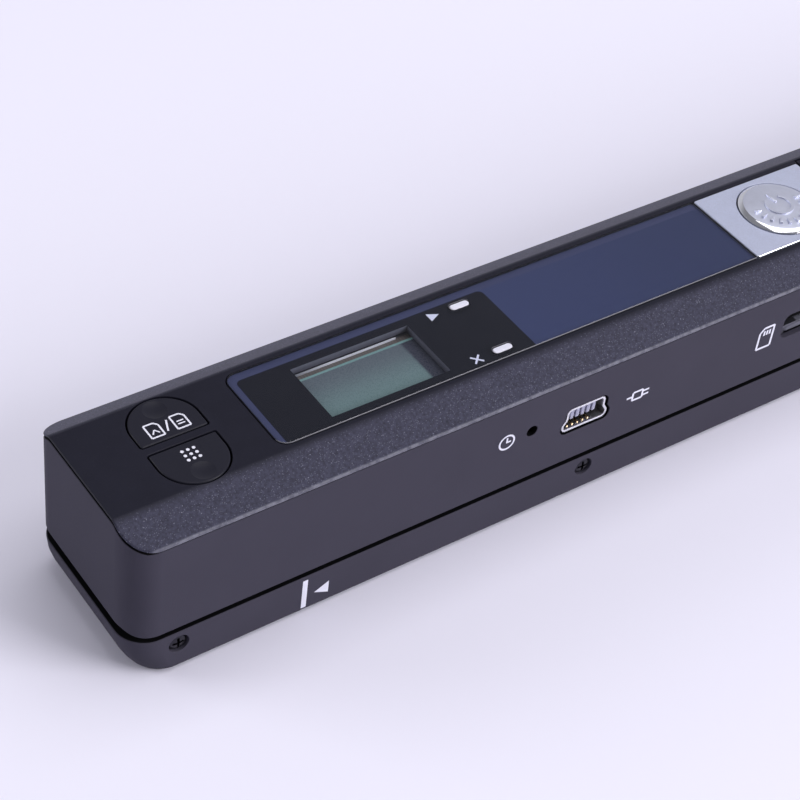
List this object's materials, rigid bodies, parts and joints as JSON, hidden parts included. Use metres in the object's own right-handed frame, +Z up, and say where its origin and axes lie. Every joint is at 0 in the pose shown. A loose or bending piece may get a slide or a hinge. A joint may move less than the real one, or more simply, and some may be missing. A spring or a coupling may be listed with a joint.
{
  "type": "handheld scanner",
  "caption": "Handheld wand scanner with a display window, D-shaped keys, a round scan button, socket and card slot, rollers and a scan glass below, and a sliding battery door.",
  "frame": {"origin": "below the middle of the body, on the surface the rollers stand on", "axes": "+X along the wand from the keys to the battery end, -Y out of the wall with the sockets, +Z up"},
  "size_m": [0.255, 0.0264, 0.0284],
  "materials": {
    "flecked_paint": "satin paint with fine metallic flecks",
    "housing_plastic": "matte moulded plastic",
    "window_acrylic": "clear polished acrylic",
    "printed_film": "printed film",
    "silver_paint": "silver paint",
    "chrome": "satin chrome with a polished bevel",
    "key_plastic": "satin plastic",
    "white_plastic": "translucent white plastic",
    "black_plastic": "moulded",
    "clear_acrylic": "clear acrylic",
    "display_glass": "reflective display glass",
    "steel": "plated steel",
    "black_steel": "blackened steel",
    "bronze": "sintered bronze",
    "rubber": "matte rubber",
    "circuit_board": "green solder mask",
    "acetal": "moulded acetal",
    "scan_glass": "polished glass",
    "cell_wrap": "printed wrap",
    "cable_film": "film"
  },
  "bodies": {
    "scanner": {"back_screw_1": "black_steel", "back_screw_2": "black_steel", "battery_contact": "steel", "battery_spring": "steel", "board_connector": "black_plastic", "button_plate": "silver_paint", "card_socket": "steel", "display_board": "circuit_board", "display_window": "window_acrylic", "dpi_switch": "black_plastic", "encoder_sensor": "black_plastic", "error_light": "white_plastic", "flat_cable": "cable_film", "format_switch": "black_plastic", "front_left_bush": "bronze", "front_right_bush": "bronze", "front_screw_1": "black_steel", "front_screw_2": "black_steel", "front_screw_3": "black_steel", "front_screw_4": "black_steel", "lcd_frame": "black_plastic", "lcd_glass": "display_glass", "left_cell": "cell_wrap", "light_guide": "clear_acrylic", "lower_housing": "housing_plastic", "main_board": "circuit_board", "main_chip": "black_plastic", "memory_chip": "black_plastic", "mid_housing": "housing_plastic", "rear_left_bush": "bronze", "rear_right_bush": "bronze", "right_cell": "cell_wrap", "rod_lens_array": "clear_acrylic", "scan_glass": "scan_glass", "scan_light": "white_plastic", "scan_switch": "black_plastic", "sensor_board": "circuit_board", "sensor_housing": "black_plastic", "time_switch": "black_plastic", "top_cover": "flecked_paint", "usb_insert": "black_plastic", "usb_shell": "steel", "window_mask": "printed_film"},
    "format_key": {"format_button": "key_plastic", "format_plunger": "acetal"},
    "dpi_key": {"dpi_button": "key_plastic", "dpi_plunger": "acetal"},
    "scan_key": {"scan_button": "chrome", "scan_plunger": "acetal"},
    "time_key": {"time_plunger": "acetal"},
    "battery_cover": {"battery_door": "flecked_paint"},
    "card": {"memory_card": "black_plastic"},
    "front_roller": {"front_shaft": "steel", "front_left_wheel": "rubber", "front_right_wheel": "rubber"},
    "rear_roller": {"rear_shaft": "steel", "rear_left_wheel": "rubber", "rear_right_wheel": "rubber", "drive_gear": "acetal"},
    "encoder": {"encoder_wheel": "acetal"}
  },
  "joints": [
    {"name": "format_button_slide", "type": "slide", "parent": "scanner", "child": "format_key", "axis": [0, 0, -1], "range_m": [0, 0.0004], "stiffness_N_per_m": 600, "springref_m": -0.0004},
    {"name": "dpi_button_slide", "type": "slide", "parent": "scanner", "child": "dpi_key", "axis": [0, 0, -1], "range_m": [0, 0.0004], "stiffness_N_per_m": 600, "springref_m": -0.0004},
    {"name": "scan_button_slide", "type": "slide", "parent": "scanner", "child": "scan_key", "axis": [0, 0, -1], "range_m": [0, 0.0005], "stiffness_N_per_m": 600, "springref_m": -0.0004},
    {"name": "time_button_slide", "type": "slide", "parent": "scanner", "child": "time_key", "axis": [0, 1, 0], "range_m": [0, 0.0003], "stiffness_N_per_m": 400, "springref_m": -0.0004},
    {"name": "battery_door_slide", "type": "slide", "parent": "scanner", "child": "battery_cover", "axis": [1, 0, 0], "range_m": [0, 0.118]},
    {"name": "card_slide", "type": "slide", "parent": "scanner", "child": "card", "axis": [0, -1, 0], "range_m": [0, 0.012]},
    {"name": "front_roller_spin", "type": "hinge", "parent": "scanner", "child": "front_roller", "pos_m": [0, -0.0066, 0.0045], "axis": [1, 0, 0], "continuous": true},
    {"name": "rear_roller_spin", "type": "hinge", "parent": "scanner", "child": "rear_roller", "pos_m": [0, 0.0066, 0.0045], "axis": [1, 0, 0], "continuous": true},
    {"name": "encoder_spin", "type": "hinge", "parent": "scanner", "child": "encoder", "pos_m": [-0.1219, 0.00321, 0.00789], "axis": [1, 0, 0], "continuous": true}
  ],
  "couplings": [
    {"joint": "encoder_spin", "follows": "rear_roller_spin", "ratio": -1.2857}
  ]
}
